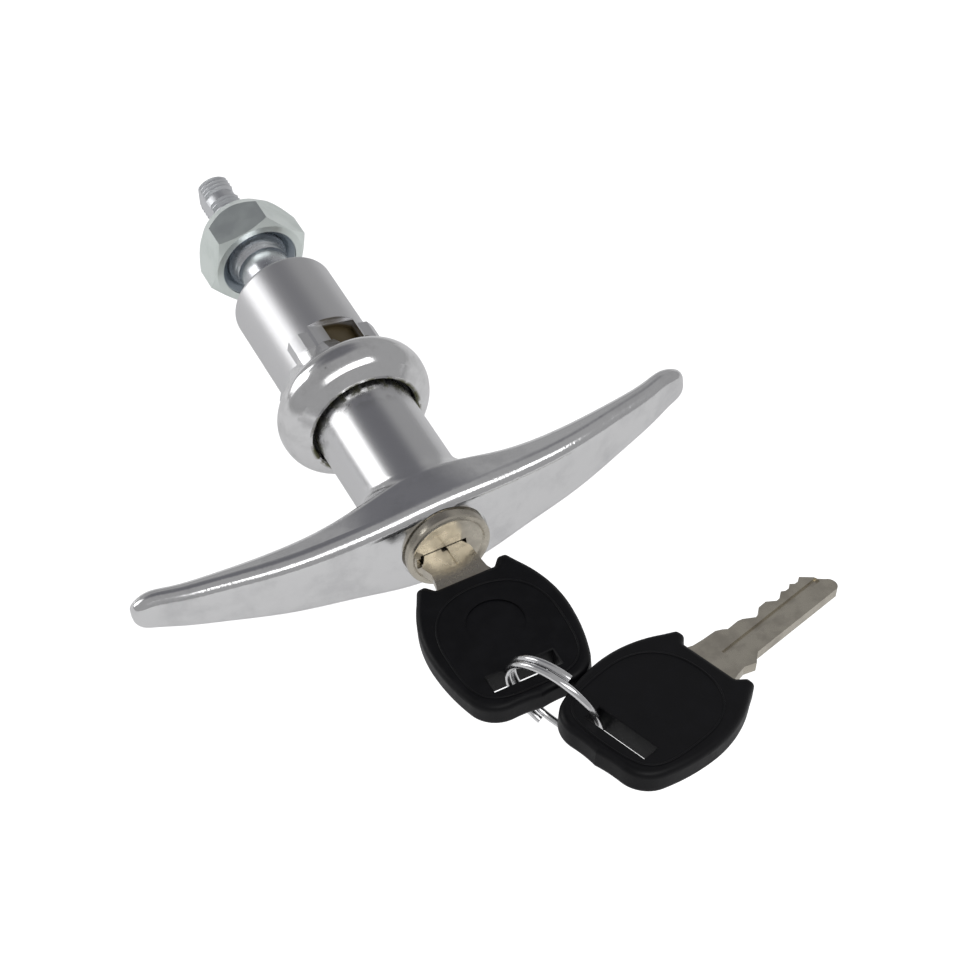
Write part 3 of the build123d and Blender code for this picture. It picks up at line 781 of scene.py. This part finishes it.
def area_light(name, place, target, size, power):
    """A rectangular soft light."""
    data = bpy.data.lights.new(name, "AREA")
    data.shape = "RECTANGLE"
    data.size, data.size_y = size
    data.energy = power
    light = bpy.data.objects.new(name, data)
    light.location = place
    light.rotation_euler = aim(place, target)
    bpy.context.scene.collection.objects.link(light)


# Each row: name, place, width and height in metres, power in watts
SOFT_BOXES = (
    ("left_window", (-0.64, 0.69, 0.36), (0.45, 0.55), 1.6),
    ("front_box", (0.10, -0.64, 0.80), (1.25, 0.36), 3.2),
)
LIT_POINT = (0, -0.01, 0)
# The room is darkest this way, behind and above the barrel; the second row is the cosine where it
# starts to darken and where it is darkest
DIM_CORNER = (0.03, 0.68, 0.73)
DIM_EDGE = (0.86, 0.97)
ROOM_WHITE = (1.0, 1.0, 1.01)
ROOM_GREY = (0.45, 0.45, 0.49)
FLOOR_PAINT = (0.9, 0.9, 0.9, 1)
FLOOR_SIZE = 6.0
SENSOR_WIDTH = 36.0
CLIP_START = 0.01


def lay_floor(studio):
    """White floor below the lock, white to the camera and paler in metal."""
    bpy.ops.object.select_all(action="DESELECT")
    lowest = CAD_BOX[0][2]
    bpy.ops.mesh.primitive_plane_add(size=FLOOR_SIZE, location=(0, 0, lowest - studio.drop))
    floor = bpy.context.object
    floor.name = "floor"
    material, tree = new_material("floor_white")
    diffuse = node(tree, "ShaderNodeBsdfDiffuse", Color=FLOOR_PAINT)
    glow = node(tree, "ShaderNodeEmission", Strength=1.0)
    path = tree.nodes.new("ShaderNodeLightPath")
    total = tree.nodes.new("ShaderNodeAddShader")
    output = tree.nodes.new("ShaderNodeOutputMaterial")
    link = tree.links.new
    seen = calculate(tree, "MULTIPLY", path.outputs["Is Camera Ray"], studio.floor)
    shown = calculate(tree, "MULTIPLY", path.outputs["Is Glossy Ray"], studio.floor_gloss)
    link(calculate(tree, "ADD", seen, shown), glow.inputs["Strength"])
    link(diffuse.outputs[0], total.inputs[0])
    link(glow.outputs[0], total.inputs[1])
    link(total.outputs[0], output.inputs["Surface"])
    floor.data.materials.append(material)


def light_room(scene, strength):
    """Pale room with a dim corner; the camera sees plain white."""
    world = bpy.data.worlds.new("room")
    scene.world = world
    world.use_nodes = True
    tree = world.node_tree
    tree.nodes.clear()
    output = tree.nodes.new("ShaderNodeOutputWorld")
    way = tree.nodes.new("ShaderNodeTexCoord").outputs["Generated"]
    toward = node(tree, "ShaderNodeVectorMath", operation="DOT_PRODUCT")
    toward.inputs[1].default_value = DIM_CORNER
    tree.links.new(way, toward.inputs[0])
    dim = ramp(tree, toward.outputs["Value"], *DIM_EDGE)
    room = node(tree, "ShaderNodeBackground", Strength=strength)
    tree.links.new(blend_colour(tree, dim, ROOM_WHITE, ROOM_GREY), room.inputs["Color"])
    white = node(tree, "ShaderNodeBackground", Color=(1, 1, 1, 1), Strength=1.0)
    path = tree.nodes.new("ShaderNodeLightPath")
    chosen = tree.nodes.new("ShaderNodeMixShader")
    tree.links.new(path.outputs["Is Camera Ray"], chosen.inputs["Fac"])
    tree.links.new(room.outputs[0], chosen.inputs[1])
    tree.links.new(white.outputs[0], chosen.inputs[2])
    tree.links.new(chosen.outputs[0], output.inputs["Surface"])


def place_camera(scene, studio):
    """Camera at the photograph's angle."""
    toward = Vector(
        (
            sin(studio.azimuth) * cos(studio.elevation),
            -cos(studio.azimuth) * cos(studio.elevation),
            sin(studio.elevation),
        )
    )
    level = Vector((cos(studio.azimuth), sin(studio.azimuth), 0))
    upright = toward.cross(level)
    right = level * cos(studio.roll) + upright * sin(studio.roll)
    up = upright * cos(studio.roll) - level * sin(studio.roll)
    data = bpy.data.cameras.new("camera")
    data.lens = studio.lens
    data.sensor_width = SENSOR_WIDTH
    data.clip_start = CLIP_START
    camera = bpy.data.objects.new("camera", data)
    turn = Matrix((right, up, toward)).transposed().to_4x4()
    place = Vector(studio.target) + toward * studio.distance
    camera.matrix_world = Matrix.Translation(place) @ turn
    scene.collection.objects.link(camera)
    scene.camera = camera


class LIDLOCK_OT_stage(bpy.types.Operator):
    """Floor, soft lights, room and camera"""

    bl_idname = "lidlock.stage"
    bl_label = "Studio"

    def execute(self, context):
        scene = context.scene
        studio = scene.lidlock_studio
        lay_floor(studio)
        light_room(scene, studio.world)
        for name, place, size, power in SOFT_BOXES:
            area_light(name, place, LIT_POINT, size, power)
        place_camera(scene, studio)
        scene.view_settings.view_transform = "Standard"
        return {"FINISHED"}


class LIDLOCK_PT_panel(bpy.types.Panel):
    """Lists the steps that dress the lock"""

    bl_idname = "LIDLOCK_PT_panel"
    bl_label = "Engine lid lock"
    bl_space_type = "VIEW_3D"
    bl_region_type = "UI"
    bl_category = "Lid lock"

    def draw(self, context):
        for operator in STEPS:
            self.layout.operator(operator.bl_idname)


STEPS = (
    LIDLOCK_OT_castings,
    LIDLOCK_OT_spindle,
    LIDLOCK_OT_lock,
    LIDLOCK_OT_keys,
    LIDLOCK_OT_stage,
)
GROUPS = (LockFinish, KeyLines, Studio)


def register():
    for cls in (*GROUPS, *STEPS, LIDLOCK_PT_panel):
        bpy.utils.register_class(cls)
    bpy.types.Scene.lidlock_finish = PointerProperty(type=LockFinish)
    bpy.types.Scene.lidlock_lines = PointerProperty(type=KeyLines)
    bpy.types.Scene.lidlock_studio = PointerProperty(type=Studio)


def unregister():
    del bpy.types.Scene.lidlock_studio
    del bpy.types.Scene.lidlock_lines
    del bpy.types.Scene.lidlock_finish
    for cls in reversed((*GROUPS, *STEPS, LIDLOCK_PT_panel)):
        bpy.utils.unregister_class(cls)


def main():
    register()
    bpy.ops.lidlock.castings()
    bpy.ops.lidlock.spindle()
    bpy.ops.lidlock.lock()
    bpy.ops.lidlock.keys()
    bpy.ops.lidlock.stage()


if __name__ == "__main__":
    main()
